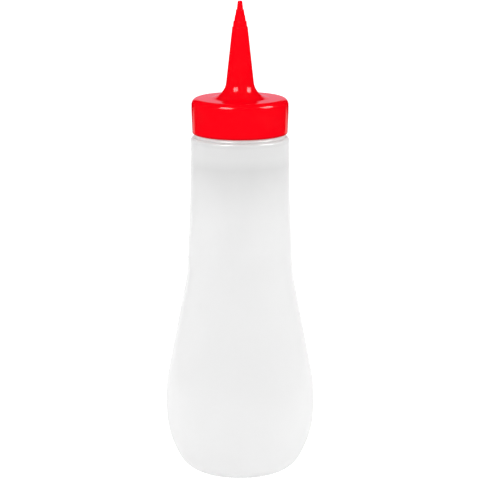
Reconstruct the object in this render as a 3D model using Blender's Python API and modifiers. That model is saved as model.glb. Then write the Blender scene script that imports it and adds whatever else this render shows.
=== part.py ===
"""Squeeze bottle for sauce: a blow-moulded bottle with a bulb foot, and a screw cap with a stepped nozzle.

Metres, +Z up. The origin is the centre of the foot, on the surface that the bottle stands on.
Outlines are corners (radius, height, rounding). Each rounding becomes an arc between the straight stretches.
"""
import math

import bmesh
import bpy
from mathutils import Vector

# Facets: sides of a turned shape, how far an arc's chords may stray from the arc, and their most in radii
SIDES = 40
CHORD_ERROR = 0.00009
CHORD_ERROR_LIMIT = 0.5

# Bottle
MILKY = (0.90, 0.91, 0.91)
MILKY_ROUGHNESS = 0.35
MILKY_ALPHA = 0.8
BOTTLE_WALL = 0.0012
NECK_RADIUS = 0.0249
NECK_ROOT_ROUNDING = 0.0004
COLLAR = (0.0267, 0.2002, 0.0013)
COLLAR_ROOT_ROUNDING = 0.0003
SHOULDER_HEIGHT = 0.1984
RIM_HEIGHT = 0.2192
SHOULDER = (0.0283, SHOULDER_HEIGHT, 0.0013)
SLIM_BODY = (0.0289, 0.1647, 0.150)
WAIST = (0.0308, 0.1176, 0.087)
BULB_TOP = (0.0440, 0.0490, 0.090)
BULB_BOTTOM = (0.0426, 0.0231, 0.057)
HEEL = (0.0310, 0.0, 0.0187)
FOOT_RING_INSIDE = (0.0170, 0.0, 0.0020)
PUSH_UP_EDGE = (0.0125, 0.0030, 0.0060)
PUSH_UP_CENTRE = 0.0036

# Cap
RED = (0.80, 0.005, 0.012)
RED_ROUGHNESS = 0.18
CAP_RADIUS = 0.0280
CAP_TOP = 0.2210
CAP_TOP_ROUNDING = 0.0035
CAP_SIDE_BEND = 0.2128
CAP_SIDE_ROUNDING = 0.120
SKIRT_BOTTOM = 0.2005
SKIRT_RADIUS = 0.0275
SKIRT_ROUNDING = 0.0007
SKIRT_BORE = 0.0265
SKIRT_BORE_ROUNDING = 0.0002
CAP_TOP_WALL = 0.0015
CAP_CORNER_INSIDE = 0.0015

# Nozzle: a cone that flares into the cap's top, and short tiers that are cut off for a wider opening
NOZZLE_FOOT_RADIUS = 0.0090
NOZZLE_FLARE = 0.0100
NOZZLE_TAPER = 0.1104
NOZZLE_WALL = 0.0014
TIP_HEIGHT = 0.2770
TIP_ROUNDING = 0.0005
ORIFICE_RADIUS = 0.0006
ORIFICE_LENGTH = 0.0012
STEP_OUTER_ROUNDING = 0.00016
STEP_ROOT_ROUNDING = 0.0001
# Each tier's radius at its top, and its height
TIERS = ((0.0013, 0.0050), (0.0023, 0.0033), (0.00295, 0.0033), (0.00375, 0.0032))
TIER_BORE_RADIUS = 0.00335
TIER_BORE_ROUNDING = 0.020

# Thread that holds the cap on the neck
THREAD_PITCH = 0.0042
THREAD_TURNS = 1.5
THREAD_RUN_OUT = 0.08
THREAD_END_SIZE = 0.35
THREAD_BEVEL_RESOLUTION = 1
THREAD_STEPS_A_TURN = 24
NECK_THREAD_START = 0.2060
NECK_THREAD_SIZE = 0.0011
CAP_THREAD_SIZE = 0.0009
CAP_THREAD_RADIUS = 0.0263

SHARP_ANGLE = math.radians(35)
MERGE_DISTANCE = 0.00001


def rounded(corners):
    """Points of an outline whose inner corners are replaced by tangent arcs."""
    points = [Vector(corners[0][:2])]
    for before, corner, after in zip(corners, corners[1:], corners[2:]):
        tip = Vector(corner[:2])
        back = (Vector(before[:2]) - tip).normalized()
        onward = (Vector(after[:2]) - tip).normalized()
        half_angle = back.angle(onward) / 2
        radius = corner[2]
        centre = tip + (back + onward).normalized() * radius / math.sin(half_angle)
        spoke = tip + back * radius / math.tan(half_angle) - centre
        turn = math.pi - 2 * half_angle
        if back.cross(onward) < 0:
            turn = -turn
        chord_angle = 2 * math.acos(1 - min(CHORD_ERROR / radius, CHORD_ERROR_LIMIT))
        chords = max(1, math.ceil(abs(turn) / chord_angle))
        for step in range(chords + 1):
            angle = -turn * step / chords
            across = Vector((-spoke.y, spoke.x))
            points.append(centre + spoke * math.cos(angle) + across * math.sin(angle))
    points.append(Vector(corners[-1][:2]))
    return points


def material(name, colour, roughness, alpha=1.0):
    """Plain plastic of one colour."""
    plastic = bpy.data.materials.new(name)
    plastic.use_nodes = True
    shader = plastic.node_tree.nodes["Principled BSDF"]
    shader.inputs["Base Color"].default_value = (*colour, 1.0)
    shader.inputs["Roughness"].default_value = roughness
    shader.inputs["Metallic"].default_value = 0.0
    shader.inputs["Alpha"].default_value = alpha
    return plastic


def turned(name, outline, closed, collection, plastic):
    """An outline at +X, turned round the Z axis."""
    last = len(outline) - 1
    edges = [(i, i + 1) for i in range(last)]
    if closed:
        edges.append((last, 0))
    mesh = bpy.data.meshes.new(name)
    mesh.from_pydata([(p.x, 0.0, p.y) for p in outline], edges, [])
    mesh.materials.append(plastic)
    obj = bpy.data.objects.new(name, mesh)
    collection.objects.link(obj)
    screw = obj.modifiers.new("turn", "SCREW")
    screw.axis = "Z"
    screw.steps = SIDES
    screw.render_steps = SIDES
    screw.use_merge_vertices = True
    screw.merge_threshold = MERGE_DISTANCE
    return obj


def thread(name, radius, size, start_height, collection):
    """A round helical ridge that grows out of nothing at each end, as a closed mesh."""
    steps = round(THREAD_STEPS_A_TURN * THREAD_TURNS)
    curve = bpy.data.curves.new(name, "CURVE")
    curve.dimensions = "3D"
    curve.bevel_depth = size
    curve.bevel_resolution = THREAD_BEVEL_RESOLUTION
    curve.use_fill_caps = True
    spline = curve.splines.new("POLY")
    spline.points.add(steps)
    for i, point in enumerate(spline.points):
        along = i / steps
        angle = 2 * math.pi * THREAD_TURNS * along
        height = start_height + THREAD_PITCH * THREAD_TURNS * along
        point.co = (radius * math.cos(angle), radius * math.sin(angle), height, 1.0)
        fade = min(1.0, min(along, 1 - along) / THREAD_RUN_OUT)
        point.radius = THREAD_END_SIZE + (1 - THREAD_END_SIZE) * math.sin(fade * math.pi / 2)
    guide = bpy.data.objects.new(name, curve)
    collection.objects.link(guide)
    bpy.context.view_layer.update()
    evaluated = guide.evaluated_get(bpy.context.evaluated_depsgraph_get())
    mesh = bpy.data.meshes.new_from_object(evaluated)
    bpy.data.objects.remove(guide)
    weld_caps(mesh)
    ridge = bpy.data.objects.new(name, mesh)
    ridge.display_type = "WIRE"
    ridge.hide_render = True
    collection.objects.link(ridge)
    return ridge


def weld_caps(mesh):
    """Join a tube's end caps to its side."""
    work = bmesh.new()
    work.from_mesh(mesh)
    bmesh.ops.remove_doubles(work, verts=work.verts, dist=MERGE_DISTANCE)
    work.to_mesh(mesh)
    work.free()


def join_ridge(obj, ridge):
    """Fuse the thread's ridge with the wall that carries it."""
    union = obj.modifiers.new("thread", "BOOLEAN")
    union.operation = "UNION"
    union.solver = "EXACT"
    union.object = ridge


def shade(obj):
    """Smooth shading on the round stretches, with sharp edges kept."""
    obj.data.shade_smooth()
    obj.data.set_sharp_from_angle(angle=SHARP_ANGLE)


def bottle_outline():
    """Outside of the bottle, from the rim down to the middle of its foot."""
    return rounded([
        (NECK_RADIUS, RIM_HEIGHT, 0.0),
        (NECK_RADIUS, COLLAR[1], NECK_ROOT_ROUNDING),
        COLLAR,
        (COLLAR[0], SHOULDER_HEIGHT, COLLAR_ROOT_ROUNDING),
        SHOULDER,
        SLIM_BODY,
        WAIST,
        BULB_TOP,
        BULB_BOTTOM,
        HEEL,
        FOOT_RING_INSIDE,
        PUSH_UP_EDGE,
        (0.0, PUSH_UP_CENTRE, 0.0),
    ])


def make_bottle(parts, guides):
    """Thin shell, open at the neck, with the thread round the neck."""
    plastic = material("milky_plastic", MILKY, MILKY_ROUGHNESS, MILKY_ALPHA)
    bottle = turned("bottle", bottle_outline(), False, parts, plastic)
    shell = bottle.modifiers.new("wall", "SOLIDIFY")
    shell.thickness = BOTTLE_WALL
    shell.offset = -1.0
    shell.use_even_offset = True
    ridge = thread("neck_thread", NECK_RADIUS, NECK_THREAD_SIZE, NECK_THREAD_START, guides)
    join_ridge(bottle, ridge)
    shade(bottle)
    return bottle


def nozzle_corners():
    """Outside of the nozzle, from its opening down to the last tier's foot."""
    corners = [(ORIFICE_RADIUS, TIP_HEIGHT, 0.0)]
    height = TIP_HEIGHT
    for number, (radius, drop) in enumerate(TIERS):
        corners.append((radius, height, STEP_OUTER_ROUNDING if number else TIP_ROUNDING))
        height -= drop
        corners.append((radius + NOZZLE_TAPER * drop, height, STEP_ROOT_ROUNDING))
    cone_top_radius = NOZZLE_FOOT_RADIUS - NOZZLE_TAPER * (height - CAP_TOP)
    corners.append((cone_top_radius, height, STEP_OUTER_ROUNDING))
    return corners


def cap_outline():
    """Outside of the cap from the nozzle's opening down to the skirt, then its inside back up."""
    under_top = CAP_TOP - CAP_TOP_WALL
    bore_foot = NOZZLE_FOOT_RADIUS - NOZZLE_WALL
    tiers_foot = TIP_HEIGHT - sum(drop for radius, drop in TIERS)
    return rounded([
        *nozzle_corners(),
        (NOZZLE_FOOT_RADIUS, CAP_TOP, NOZZLE_FLARE),
        (CAP_RADIUS, CAP_TOP, CAP_TOP_ROUNDING),
        (CAP_RADIUS, CAP_SIDE_BEND, CAP_SIDE_ROUNDING),
        (SKIRT_RADIUS, SKIRT_BOTTOM, SKIRT_ROUNDING),
        (SKIRT_BORE, SKIRT_BOTTOM, SKIRT_BORE_ROUNDING),
        (SKIRT_BORE, under_top, CAP_CORNER_INSIDE),
        (bore_foot, under_top, NOZZLE_FLARE + CAP_TOP_WALL),
        (TIER_BORE_RADIUS, tiers_foot - NOZZLE_WALL, TIER_BORE_ROUNDING),
        (ORIFICE_RADIUS, TIP_HEIGHT - ORIFICE_LENGTH, 0.0),
    ])


def make_cap(parts, guides):
    """Skirt, top and nozzle in one piece, hollow through, with the thread inside the skirt."""
    plastic = material("red_plastic", RED, RED_ROUGHNESS)
    cap = turned("cap", cap_outline(), True, parts, plastic)
    half_turn_lower = NECK_THREAD_START - THREAD_PITCH / 2
    ridge = thread("cap_thread", CAP_THREAD_RADIUS, CAP_THREAD_SIZE, half_turn_lower, guides)
    join_ridge(cap, ridge)
    shade(cap)
    return cap


def main():
    for old in list(bpy.data.objects):
        bpy.data.objects.remove(old)
    parts = bpy.data.collections.new("squeeze_bottle")
    guides = bpy.data.collections.new("cutters")
    for collection in (parts, guides):
        bpy.context.scene.collection.children.link(collection)
    make_bottle(parts, guides)
    make_cap(parts, guides)


main()
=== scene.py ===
"""Squeeze bottle for sauce: a milky blow-moulded bottle and a red screw cap whose nozzle ends in steps.

Metres, +Z up. The bottle stands on the floor at the origin, and the camera looks along +Y.
"""
import math

import bpy
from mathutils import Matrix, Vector


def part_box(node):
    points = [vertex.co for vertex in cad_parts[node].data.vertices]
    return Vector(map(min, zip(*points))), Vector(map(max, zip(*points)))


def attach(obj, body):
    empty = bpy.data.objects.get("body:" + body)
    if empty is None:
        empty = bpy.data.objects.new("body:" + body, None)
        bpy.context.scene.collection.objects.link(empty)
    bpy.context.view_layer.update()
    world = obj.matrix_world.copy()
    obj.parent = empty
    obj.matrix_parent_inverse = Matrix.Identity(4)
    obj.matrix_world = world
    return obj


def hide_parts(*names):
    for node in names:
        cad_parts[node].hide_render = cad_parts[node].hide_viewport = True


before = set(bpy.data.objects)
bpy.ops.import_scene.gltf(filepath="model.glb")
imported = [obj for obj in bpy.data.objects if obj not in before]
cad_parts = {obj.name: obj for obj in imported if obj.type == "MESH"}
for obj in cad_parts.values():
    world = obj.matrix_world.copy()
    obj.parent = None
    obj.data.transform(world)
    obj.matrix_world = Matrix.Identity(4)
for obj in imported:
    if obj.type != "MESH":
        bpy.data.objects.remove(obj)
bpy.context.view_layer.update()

# Bottle
# The real piece is one blow moulding of milky low-density polyethylene, with a thin wall for squeezing.
# Half its outline is drawn at +X from the rim down to the foot, turned round the axis and given its wall.
# A corner of an outline is its radius, its height and the rounding there.
BOTTLE_WALL = 0.0012
NECK_RADIUS = 0.0249
NECK_ROOT_ROUNDING = 0.0004
COLLAR = (0.0267, 0.2002, 0.0013)
COLLAR_ROOT_ROUNDING = 0.0003
SHOULDER_HEIGHT = 0.1984
RIM_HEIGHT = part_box("bottle")[1].z
SHOULDER = (0.0283, SHOULDER_HEIGHT, 0.0013)
SLIM_BODY = (0.0289, 0.1647, 0.150)
WAIST = (0.0308, 0.1176, 0.087)
BULB_TOP = (0.0440, 0.0490, 0.090)
BULB_BOTTOM = (0.0426, 0.0231, 0.057)
HEEL = (0.0310, 0.0, 0.0187)
FOOT_RING_INSIDE = (0.0170, 0.0, 0.0020)
PUSH_UP_EDGE = (0.0125, 0.0030, 0.0060)
PUSH_UP_CENTRE = 0.0036
BOTTLE_SIDES = 160
WALL_INWARDS = -1.0
RIM_ROUNDING = 0.0003
RIM_SEGMENTS = 3
THREAD_PITCH = 0.0042
THREAD_TURNS = 1.5
THREAD_STEPS = 108
THREAD_SIDES = 12
THREAD_RUN_OUT = 9
THREAD_END_SIZE = 0.35
NECK_THREAD_START = 0.2060
NECK_THREAD_SIZE = 0.0011
SEED_SIZE = 0.001
ARC_STEP = math.radians(5)
CHORD_ERROR = 0.00002
MERGE_DISTANCE = 0.000005
SHARP_ANGLE = math.radians(30)


def draw_outline(name, corners):
    """A wire at +X, left in edit mode, with an arc spun round each corner (radius, height, rounding)."""
    bpy.ops.object.select_all(action="DESELECT")
    pen = Vector((corners[0][0], 0.0, corners[0][1]))
    bpy.ops.mesh.primitive_plane_add(size=SEED_SIZE, location=pen)
    piece = bpy.context.object
    piece.name = name
    bpy.ops.object.transform_apply(location=True)
    bpy.ops.object.mode_set(mode="EDIT")
    bpy.ops.mesh.merge(type="CENTER")
    for before, corner, after in zip(corners, corners[1:], corners[2:]):
        tip = Vector((corner[0], 0.0, corner[1]))
        back = (Vector((before[0], 0.0, before[1])) - tip).normalized()
        onward = (Vector((after[0], 0.0, after[1])) - tip).normalized()
        half_angle = back.angle(onward) / 2
        radius = corner[2]
        centre = tip + (back + onward).normalized() * radius / math.sin(half_angle)
        arc_start = tip + back * radius / math.tan(half_angle)
        arc_end = tip + onward * radius / math.tan(half_angle)
        turn = math.pi - 2 * half_angle
        chord_angle = min(ARC_STEP, 2 * math.acos(1 - min(CHORD_ERROR / radius, 1.0)))
        side = -1 if (arc_start - centre).cross(arc_end - centre).y > 0 else 1
        bpy.ops.mesh.extrude_vertices_move(TRANSFORM_OT_translate={"value": arc_start - pen})
        chords = math.ceil(turn / chord_angle)
        bpy.ops.mesh.spin(steps=chords, angle=side * turn, center=centre, axis=(0, 1, 0))
        pen = arc_end
    last = Vector((corners[-1][0], 0.0, corners[-1][1]))
    bpy.ops.mesh.extrude_vertices_move(TRANSFORM_OT_translate={"value": last - pen})
    return piece


def turn_outline(sides):
    """Turn the wire that is open in edit mode round the Z axis into a closed skin that faces outwards."""
    bpy.ops.mesh.select_all(action="SELECT")
    bpy.ops.mesh.spin(steps=sides, angle=2 * math.pi, center=(0, 0, 0), axis=(0, 0, 1), use_auto_merge=True)
    bpy.ops.mesh.select_all(action="SELECT")
    bpy.ops.mesh.remove_doubles(threshold=MERGE_DISTANCE)
    bpy.ops.mesh.normals_make_consistent(inside=False)
    bpy.ops.object.mode_set(mode="OBJECT")


def pick(piece, wanted):
    """Open the active piece in edit mode with only the wanted vertices selected."""
    bpy.ops.object.mode_set(mode="EDIT")
    bpy.ops.mesh.select_all(action="DESELECT")
    bpy.ops.object.mode_set(mode="OBJECT")
    for vertex in piece.data.vertices:
        vertex.select = wanted(vertex)
    bpy.ops.object.mode_set(mode="EDIT")


def add_thread(piece, radius, size, start):
    """Fuse a round helical ridge with a piece: a circle screwed upwards, thinner towards both ends."""
    bpy.ops.object.select_all(action="DESELECT")
    bpy.ops.mesh.primitive_circle_add(vertices=THREAD_SIDES, radius=size, rotation=(math.pi / 2, 0, 0))
    ridge = bpy.context.object
    ridge.location = (radius, 0, start)
    bpy.ops.object.transform_apply(location=True, rotation=True)
    climb = ridge.modifiers.new("climb", "SCREW")
    climb.angle = 2 * math.pi * THREAD_TURNS
    climb.screw_offset = THREAD_PITCH * THREAD_TURNS
    climb.steps = THREAD_STEPS
    climb.render_steps = THREAD_STEPS
    bpy.ops.object.modifier_apply(modifier=climb.name)
    for ring in range(THREAD_RUN_OUT):
        share = THREAD_END_SIZE + (1 - THREAD_END_SIZE) * math.sin(ring / THREAD_RUN_OUT * math.pi / 2)
        for step in (ring, THREAD_STEPS - ring):
            first = step * THREAD_SIDES
            loop = ridge.data.vertices[first:first + THREAD_SIDES]
            centre = sum((vertex.co for vertex in loop), Vector()) / THREAD_SIDES
            pick(ridge, lambda vertex: first <= vertex.index < first + THREAD_SIDES)
            bpy.ops.transform.resize(value=(share, share, share), center_override=centre)
            bpy.ops.object.mode_set(mode="OBJECT")
    bpy.ops.object.mode_set(mode="EDIT")
    bpy.ops.mesh.select_all(action="SELECT")
    bpy.ops.mesh.fill_holes(sides=0)
    bpy.ops.mesh.normals_make_consistent(inside=False)
    bpy.ops.object.mode_set(mode="OBJECT")
    bpy.ops.object.select_all(action="DESELECT")
    bpy.context.view_layer.objects.active = piece
    union = piece.modifiers.new("thread", "BOOLEAN")
    union.operation = "UNION"
    union.solver = "EXACT"
    union.object = ridge
    bpy.ops.object.modifier_apply(modifier=union.name)
    # The union can leave slivers along its seam, which are merged away
    bpy.ops.object.mode_set(mode="EDIT")
    bpy.ops.mesh.select_all(action="SELECT")
    bpy.ops.mesh.remove_doubles(threshold=MERGE_DISTANCE)
    bpy.ops.mesh.dissolve_degenerate(threshold=MERGE_DISTANCE)
    bpy.ops.object.mode_set(mode="OBJECT")
    ridge.select_set(True)
    bpy.ops.object.delete()


bottle = draw_outline("bottle_shell", [
    (NECK_RADIUS, RIM_HEIGHT, 0.0),
    (NECK_RADIUS, COLLAR[1], NECK_ROOT_ROUNDING),
    COLLAR,
    (COLLAR[0], SHOULDER_HEIGHT, COLLAR_ROOT_ROUNDING),
    SHOULDER,
    SLIM_BODY,
    WAIST,
    BULB_TOP,
    BULB_BOTTOM,
    HEEL,
    FOOT_RING_INSIDE,
    PUSH_UP_EDGE,
    (0.0, PUSH_UP_CENTRE, 0.0),
])
turn_outline(BOTTLE_SIDES)
wall = bottle.modifiers.new("wall", "SOLIDIFY")
wall.thickness = BOTTLE_WALL
wall.offset = WALL_INWARDS
wall.use_even_offset = True
bpy.ops.object.modifier_apply(modifier=wall.name)
pick(bottle, lambda vertex: vertex.co.z > RIM_HEIGHT - MERGE_DISTANCE)
bpy.ops.mesh.bevel(offset=RIM_ROUNDING, segments=RIM_SEGMENTS, affect="EDGES")
bpy.ops.object.mode_set(mode="OBJECT")
add_thread(bottle, NECK_RADIUS, NECK_THREAD_SIZE, NECK_THREAD_START)
bottle.select_set(True)
bpy.ops.object.shade_smooth_by_angle(angle=SHARP_ANGLE)
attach(bottle, "root")
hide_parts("bottle")


def add_node(tree, kind, **settings):
    """A new node of a tree with its properties set."""
    node = tree.nodes.new(kind)
    for name, value in settings.items():
        setattr(node, name, value)
    return node


def spread(tree, source, low, high, start=0.0, end=1.0, smooth=False):
    """The output of a map range node that takes start..end of a source to low..high."""
    node = add_node(tree, "ShaderNodeMapRange", interpolation_type="SMOOTHSTEP" if smooth else "LINEAR")
    node.inputs["From Min"].default_value = start
    node.inputs["From Max"].default_value = end
    node.inputs["To Min"].default_value = low
    node.inputs["To Max"].default_value = high
    tree.links.new(source, node.inputs["Value"])
    return node.outputs["Result"]


def noise(tree, position, scale, detail, stretch=(1.0, 1.0, 1.0), turn=(0.0, 0.0, 0.0)):
    """Noise with so many waves in a metre, after its space is turned and stretched."""
    place = add_node(tree, "ShaderNodeMapping")
    place.inputs["Scale"].default_value = stretch
    place.inputs["Rotation"].default_value = turn
    texture = add_node(tree, "ShaderNodeTexNoise")
    texture.inputs["Scale"].default_value = scale
    texture.inputs["Detail"].default_value = detail
    tree.links.new(position, place.inputs["Vector"])
    tree.links.new(place.outputs["Vector"], texture.inputs["Vector"])
    return texture.outputs["Fac"]


def combine(tree, operation, first, second):
    """The result of a math node on an output and a number or another output."""
    node = add_node(tree, "ShaderNodeMath", operation=operation)
    tree.links.new(first, node.inputs[0])
    if isinstance(second, float):
        node.inputs[1].default_value = second
    else:
        tree.links.new(second, node.inputs[1])
    return node.outputs["Value"]


# Moulded plastic in general: cloudy pigment, long flow streaks and a fine grain from the mould
CLOUDS = 34.0
CLOUD_DETAIL = 3.0
STREAKS = 420.0
GRAIN = 2600.0
FINE_DETAIL = 2.0
STREAK_STRETCH = (1.0, 1.0, 0.03)
moulding = bpy.data.node_groups.new("moulded_plastic", "ShaderNodeTree")
moulding.interface.new_socket("Position", in_out="INPUT", socket_type="NodeSocketVector")
for name in ("Cloud", "Streaks", "Grain"):
    moulding.interface.new_socket(name, in_out="OUTPUT", socket_type="NodeSocketFloat")
position = add_node(moulding, "NodeGroupInput").outputs["Position"]
leave = add_node(moulding, "NodeGroupOutput")
moulding.links.new(noise(moulding, position, CLOUDS, CLOUD_DETAIL), leave.inputs["Cloud"])
moulding.links.new(noise(moulding, position, STREAKS, FINE_DETAIL, STREAK_STRETCH), leave.inputs["Streaks"])
moulding.links.new(noise(moulding, position, GRAIN, FINE_DETAIL), leave.inputs["Grain"])

# Handling: hair-fine scratches in two directions, and greasy smudges
SCRATCHES = 1500.0
SCRATCH_STRETCH = (1.0, 1.0, 0.02)
SCRATCH_TURNS = ((0.35, 0.2, 0.0), (1.1, 0.7, 0.4))
SCRATCH_RANGE = (0.69, 0.74)
SMUDGES = 55.0
SMUDGE_DETAIL = 4.0
SMUDGE_RANGE = (0.52, 0.72)
SCRATCH_DEPTH = 0.000002
handling = bpy.data.node_groups.new("handling_marks", "ShaderNodeTree")
handling.interface.new_socket("Position", in_out="INPUT", socket_type="NodeSocketVector")
for name in ("Scratches", "Smudges"):
    handling.interface.new_socket(name, in_out="OUTPUT", socket_type="NodeSocketFloat")
position = add_node(handling, "NodeGroupInput").outputs["Position"]
leave = add_node(handling, "NodeGroupOutput")
steep, slanting = (
    noise(handling, position, SCRATCHES, FINE_DETAIL, SCRATCH_STRETCH, turn) for turn in SCRATCH_TURNS
)
scratches = combine(handling, "MAXIMUM", steep, slanting)
handling.links.new(spread(handling, scratches, 0.0, 1.0, *SCRATCH_RANGE), leave.inputs["Scratches"])
smudges = noise(handling, position, SMUDGES, SMUDGE_DETAIL)
handling.links.new(spread(handling, smudges, 0.0, 1.0, *SMUDGE_RANGE, smooth=True), leave.inputs["Smudges"])


def plastic(name):
    """A new material with both groups in it: its tree, shader, object position and the two group nodes."""
    material = bpy.data.materials.new(name)
    material.use_nodes = True
    tree = material.node_tree
    place = add_node(tree, "ShaderNodeTexCoord").outputs["Object"]
    skin = add_node(tree, "ShaderNodeGroup", node_tree=moulding)
    marks = add_node(tree, "ShaderNodeGroup", node_tree=handling)
    tree.links.new(place, skin.inputs["Position"])
    tree.links.new(place, marks.inputs["Position"])
    return material, tree, tree.nodes["Principled BSDF"], place, skin.outputs, marks.outputs


def add_relief(tree, heights):
    """The normal of a bump that adds up several heights, each a source and its depth in metres."""
    total = None
    for source, depth in heights:
        height = combine(tree, "MULTIPLY", source, depth)
        total = height if total is None else combine(tree, "ADD", total, height)
    bump = add_node(tree, "ShaderNodeBump")
    bump.inputs["Distance"].default_value = 1.0
    tree.links.new(total, bump.inputs["Height"])
    return bump.outputs["Normal"]


# Milky plastic, plain near-white low down, with painted shade higher up: darker below the shoulder and at
# the ledge, and a lighter collar above the ledge
# A soft sheen lightens its rims, and a painted glow on the collar under the cap stands in for light there.
# Each painted shade holds at its height, from the body up to the ledge and the collar above it.
PAINTED_WALL_SHADES = (
    (0.136, 0.94),
    (0.154, 0.87),
    (0.183, 0.66),
    (0.189, 0.72),
    (0.195, 0.72),
    (0.198, 0.60),
    (0.1992, 0.82),
)
MILKY_SHEEN = 0.8
MILKY_SHEEN_ROUGHNESS = 0.4
COLLAR_GLOW = 0.30
COLLAR_GLOW_START = (0.1990, 0.2004)
COLLAR_GLOW_END = (0.2006, 0.2014)
CLOUD_RANGE = (0.3, 0.7)
MILKY_CLOUD = 0.004
MILKY_ROUGHNESS = 0.16
MILKY_ROUGHNESS_SPREAD = 0.04
MILKY_SCUFF_ROUGHNESS = 0.05
MILKY_STREAK_DEPTH = 0.000006
MILKY_GRAIN_DEPTH = 0.0000015
SEAM_WIDTH = 0.0003
SEAM_HEIGHT = 0.00005
MILKY_SCATTER_DEPTH = 0.004
MILKY_SCATTER_RATIOS = (1.0, 1.0, 1.0)
milky, tree, shader, place, skin, marks = plastic("milky_polyethylene")
split = add_node(tree, "ShaderNodeSeparateXYZ")
tree.links.new(place, split.inputs["Vector"])
# A ramp by height paints shade and light into the wall's colour above the plain milky body
painted_shades = add_node(tree, "ShaderNodeValToRGB")
stops = painted_shades.color_ramp.elements
for number, (level, shade) in enumerate(PAINTED_WALL_SHADES):
    between = 0 < number < len(PAINTED_WALL_SHADES) - 1
    stop = stops.new(level / RIM_HEIGHT) if between else stops[-1 if number else 0]
    stop.position = level / RIM_HEIGHT
    stop.color = (shade, shade, shade, 1.0)
tree.links.new(combine(tree, "DIVIDE", split.outputs["Z"], RIM_HEIGHT), painted_shades.inputs["Fac"])
cloudy = add_node(tree, "ShaderNodeVectorMath", operation="SCALE")
tree.links.new(painted_shades.outputs["Color"], cloudy.inputs[0])
cloud = spread(tree, skin["Cloud"], 1.0 - MILKY_CLOUD, 1.0 + MILKY_CLOUD, *CLOUD_RANGE)
tree.links.new(cloud, cloudy.inputs["Scale"])
tree.links.new(cloudy.outputs["Vector"], shader.inputs["Base Color"])
# Painted light: the collar glows through its emission, though it is no lamp
glow = spread(tree, split.outputs["Z"], 0.0, COLLAR_GLOW, *COLLAR_GLOW_START, smooth=True)
fade = spread(tree, split.outputs["Z"], 1.0, 0.0, *COLLAR_GLOW_END, smooth=True)
tree.links.new(combine(tree, "MULTIPLY", glow, fade), shader.inputs["Emission Color"])
shader.inputs["Emission Strength"].default_value = 1.0
shader.inputs["Sheen Weight"].default_value = MILKY_SHEEN
shader.inputs["Sheen Roughness"].default_value = MILKY_SHEEN_ROUGHNESS
beside_seam = combine(tree, "MULTIPLY", split.outputs["Y"], split.outputs["Y"])
seam = spread(tree, beside_seam, 1.0, 0.0, 0.0, SEAM_WIDTH ** 2, smooth=True)
rough = spread(tree, skin["Cloud"], MILKY_ROUGHNESS, MILKY_ROUGHNESS + MILKY_ROUGHNESS_SPREAD, *CLOUD_RANGE)
rough = combine(tree, "ADD", rough, combine(tree, "MULTIPLY", marks["Scratches"], MILKY_SCUFF_ROUGHNESS))
tree.links.new(rough, shader.inputs["Roughness"])
relief = add_relief(tree, (
    (skin["Streaks"], MILKY_STREAK_DEPTH),
    (skin["Grain"], MILKY_GRAIN_DEPTH),
    (seam, SEAM_HEIGHT),
    (marks["Scratches"], -SCRATCH_DEPTH),
))
tree.links.new(relief, shader.inputs["Normal"])
shader.inputs["Subsurface Weight"].default_value = 1.0
shader.inputs["Subsurface Scale"].default_value = MILKY_SCATTER_DEPTH
shader.inputs["Subsurface Radius"].default_value = MILKY_SCATTER_RATIOS
bottle.data.materials.append(milky)

# Cap
# The real piece is one injection moulding of glossy red plastic: skirt, top, nozzle and stepped tip.
# Its closed outline runs down the outside from the opening and back up the inside, turned round the axis.
CAP_RADIUS = 0.0280
CAP_TOP = 0.2210
CAP_TOP_ROUNDING = 0.0035
CAP_SIDE_BEND = 0.2128
CAP_SIDE_ROUNDING = 0.120
SKIRT_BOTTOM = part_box("cap")[0].z
SKIRT_RADIUS = 0.0275
SKIRT_ROUNDING = 0.0007
SKIRT_BORE = 0.0265
SKIRT_BORE_ROUNDING = 0.0002
CAP_TOP_WALL = 0.0015
CAP_CORNER_INSIDE = 0.0015
NOZZLE_FOOT_RADIUS = 0.0090
NOZZLE_FLARE = 0.0100
NOZZLE_TAPER = 0.1104
NOZZLE_WALL = 0.0014
TIP_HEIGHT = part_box("cap")[1].z
TIP_ROUNDING = 0.0005
ORIFICE_RADIUS = 0.0006
ORIFICE_LENGTH = 0.0012
STEP_OUTER_ROUNDING = 0.00023
STEP_ROOT_ROUNDING = 0.00008
# Each tier's radius at its top, and its height, from the tip down
TIERS = ((0.0013, 0.0050), (0.0023, 0.0033), (0.00295, 0.0033), (0.00375, 0.0032))
TIER_BORE_RADIUS = 0.00335
TIER_BORE_ROUNDING = 0.020
CAP_SIDES = 160
CAP_THREAD_SIZE = 0.0009
CAP_THREAD_RADIUS = 0.0263

nozzle_corners = [(ORIFICE_RADIUS, TIP_HEIGHT, 0.0)]
height = TIP_HEIGHT
for number, (radius, drop) in enumerate(TIERS):
    nozzle_corners.append((radius, height, STEP_OUTER_ROUNDING if number else TIP_ROUNDING))
    height -= drop
    nozzle_corners.append((radius + NOZZLE_TAPER * drop, height, STEP_ROOT_ROUNDING))
nozzle_corners.append((NOZZLE_FOOT_RADIUS - NOZZLE_TAPER * (height - CAP_TOP), height, STEP_OUTER_ROUNDING))
tiers_foot = height
under_top = CAP_TOP - CAP_TOP_WALL

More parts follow.
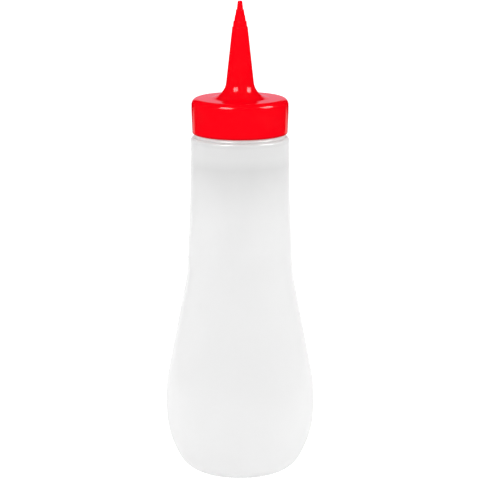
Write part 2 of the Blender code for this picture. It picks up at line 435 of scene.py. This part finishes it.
cap = draw_outline("screw_cap", [
    *nozzle_corners,
    (NOZZLE_FOOT_RADIUS, CAP_TOP, NOZZLE_FLARE),
    (CAP_RADIUS, CAP_TOP, CAP_TOP_ROUNDING),
    (CAP_RADIUS, CAP_SIDE_BEND, CAP_SIDE_ROUNDING),
    (SKIRT_RADIUS, SKIRT_BOTTOM, SKIRT_ROUNDING),
    (SKIRT_BORE, SKIRT_BOTTOM, SKIRT_BORE_ROUNDING),
    (SKIRT_BORE, under_top, CAP_CORNER_INSIDE),
    (NOZZLE_FOOT_RADIUS - NOZZLE_WALL, under_top, NOZZLE_FLARE + CAP_TOP_WALL),
    (TIER_BORE_RADIUS, tiers_foot - NOZZLE_WALL, TIER_BORE_ROUNDING),
    (ORIFICE_RADIUS, TIP_HEIGHT - ORIFICE_LENGTH, 0.0),
])
bpy.ops.mesh.extrude_vertices_move(TRANSFORM_OT_translate={"value": (0, 0, ORIFICE_LENGTH)})
turn_outline(CAP_SIDES)
add_thread(cap, CAP_THREAD_RADIUS, CAP_THREAD_SIZE, NECK_THREAD_START - THREAD_PITCH / 2)
cap.select_set(True)
bpy.ops.object.shade_smooth_by_angle(angle=SHARP_ANGLE)
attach(cap, "root")
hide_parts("cap")

# Glossy red, with painted shade along the skirt's lower edge, where it meets the bottle
RED = (0.80, 0.0, 0.0053)
RED_CLOUD = 0.015
RED_ROUGHNESS = 0.09
RED_ROUGHNESS_SPREAD = 0.02
RED_SCUFF_ROUGHNESS = 0.04
RED_STREAK_DEPTH = 0.000006
RED_GRAIN_DEPTH = 0.000001
RED_GLOSS = 0.22
RED_EDGE_PAINTED_SHADE = 0.62
RED_EDGE_HEIGHTS = (SKIRT_BOTTOM + 0.0004, SKIRT_BOTTOM + 0.0016)
red, tree, shader, place, skin, marks = plastic("glossy_red")
pigment = add_node(tree, "ShaderNodeVectorMath", operation="SCALE")
pigment.inputs[0].default_value = RED
cloud = spread(tree, skin["Cloud"], 1.0 - RED_CLOUD, 1.0 + RED_CLOUD, *CLOUD_RANGE)
split = add_node(tree, "ShaderNodeSeparateXYZ")
tree.links.new(place, split.inputs["Vector"])
# Painted shade: the red darkens towards the skirt's lower edge
lower_edge_painted_shade = spread(tree, split.outputs["Z"], RED_EDGE_PAINTED_SHADE, 1.0, *RED_EDGE_HEIGHTS, smooth=True)
tree.links.new(combine(tree, "MULTIPLY", cloud, lower_edge_painted_shade), pigment.inputs["Scale"])
tree.links.new(pigment.outputs["Vector"], shader.inputs["Base Color"])
rough = spread(tree, skin["Cloud"], RED_ROUGHNESS, RED_ROUGHNESS + RED_ROUGHNESS_SPREAD, *CLOUD_RANGE)
for mark in ("Scratches", "Smudges"):
    rough = combine(tree, "ADD", rough, combine(tree, "MULTIPLY", marks[mark], RED_SCUFF_ROUGHNESS))
tree.links.new(rough, shader.inputs["Roughness"])
relief = add_relief(tree, (
    (skin["Streaks"], RED_STREAK_DEPTH),
    (skin["Grain"], RED_GRAIN_DEPTH),
    (marks["Scratches"], -SCRATCH_DEPTH),
))
tree.links.new(relief, shader.inputs["Normal"])
shader.inputs["Specular IOR Level"].default_value = RED_GLOSS
cap.data.materials.append(red)

# Studio
# A small white table under even light from all round. The camera sees table and room as plain white.
# Two square softboxes, left of the camera and far to its right, and two panels behind only add reflections:
# the upper panel on the cap's top, and the lower one, below table height, at the rims of bottle and cap.
FLOOR_RADIUS = 0.6
FLOOR_SIDES = 96
FLOOR_SHADE = 0.4
FLOOR_ROUGHNESS = 0.8
FLOOR_GLOW = 0.62
FLOOR_REFLECTED = 0.05
FLOOR_SEEN = 1.2
EVEN_LIGHT = 1.34
WHITE = (1.0, 1.0, 1.0, 1.0)
LIGHT_DISTANCE = 1.2
LIGHT_WIDTH = 0.56
LIGHT_TARGET = Vector((0, 0, 0.16))
# Each softbox's name, its angles from the camera towards +X and up, in degrees, and its radiance
SOFTBOXES = (("softbox_left", -36, 40, 16.0), ("softbox_right", 76, 35, 16.0))
# Each panel's name, middle height, width, height, radiance and colour
PANELS = (
    ("panel_high", 0.35, 0.7, 0.6, 0.72, (1.0, 0.60, 0.74)),
    ("panel_low", -0.26, 2.0, 0.5, 0.55, (1.0, 1.0, 1.0)),
)
PANEL_DISTANCE = 1.2

bpy.ops.object.select_all(action="DESELECT")
bpy.ops.mesh.primitive_circle_add(vertices=FLOOR_SIDES, radius=FLOOR_RADIUS, fill_type="NGON")
floor = bpy.context.object
floor.name = "floor"
paper = bpy.data.materials.new("white_table")
paper.use_nodes = True
tree = paper.node_tree
shader = tree.nodes["Principled BSDF"]
shader.inputs["Base Color"].default_value = (FLOOR_SHADE, FLOOR_SHADE, FLOOR_SHADE, 1.0)
shader.inputs["Roughness"].default_value = FLOOR_ROUGHNESS
rays = add_node(tree, "ShaderNodeLightPath").outputs
seen = spread(tree, rays["Is Camera Ray"], 0.0, FLOOR_SEEN - FLOOR_GLOW)
glow = combine(tree, "ADD", seen, spread(tree, rays["Is Glossy Ray"], FLOOR_GLOW, FLOOR_REFLECTED))
tree.links.new(glow, shader.inputs["Emission Color"])
shader.inputs["Emission Strength"].default_value = 1.0
floor.data.materials.append(paper)

for name, azimuth, elevation, radiance in SOFTBOXES:
    across = math.radians(azimuth)
    up = math.radians(elevation)
    aim = Vector((math.sin(across) * math.cos(up), -math.cos(across) * math.cos(up), math.sin(up)))
    bpy.ops.object.light_add(type="AREA", location=LIGHT_TARGET + aim * LIGHT_DISTANCE)
    light = bpy.context.object
    light.name = name
    light.rotation_euler = aim.to_track_quat("Z", "Y").to_euler()
    light.data.shape = "SQUARE"
    light.data.size = LIGHT_WIDTH
    light.data.energy = math.pi * LIGHT_WIDTH ** 2 * radiance
    light.visible_diffuse = False
    light.visible_camera = False

for name, middle, width, tall, radiance, colour in PANELS:
    place = (0, PANEL_DISTANCE, middle)
    bpy.ops.object.light_add(type="AREA", location=place, rotation=(-math.pi / 2, 0, 0))
    panel = bpy.context.object
    panel.name = name
    panel.data.shape = "RECTANGLE"
    panel.data.size = width
    panel.data.size_y = tall
    panel.data.energy = math.pi * width * tall * radiance
    panel.data.color = colour
    panel.visible_diffuse = False
    panel.visible_camera = False

world = bpy.data.worlds.new("even_light")
bpy.context.scene.world = world
world.use_nodes = True
world.node_tree.nodes["Background"].inputs["Color"].default_value = WHITE
world.node_tree.nodes["Background"].inputs["Strength"].default_value = EVEN_LIGHT
world.cycles_visibility.glossy = False
world.cycles.sampling_method = "NONE"

# Camera
# A long lens 1.5 m in front of the bottle and 0.45 m above the table, tilted down at it without a roll.
CAMERA_PLACE = (0.0, -1.5, 0.4454)
CAMERA_TILT = math.radians(78.4)
CAMERA_LENS = 197.4
SENSOR_WIDTH = 36.0
bpy.ops.object.camera_add(location=CAMERA_PLACE, rotation=(CAMERA_TILT, 0, 0))
camera = bpy.context.object
camera.data.lens = CAMERA_LENS
camera.data.sensor_width = SENSOR_WIDTH
bpy.context.scene.camera = camera
bpy.context.scene.view_settings.view_transform = "Standard"

# Finally the view layer is brought up to date.
bpy.context.view_layer.update()
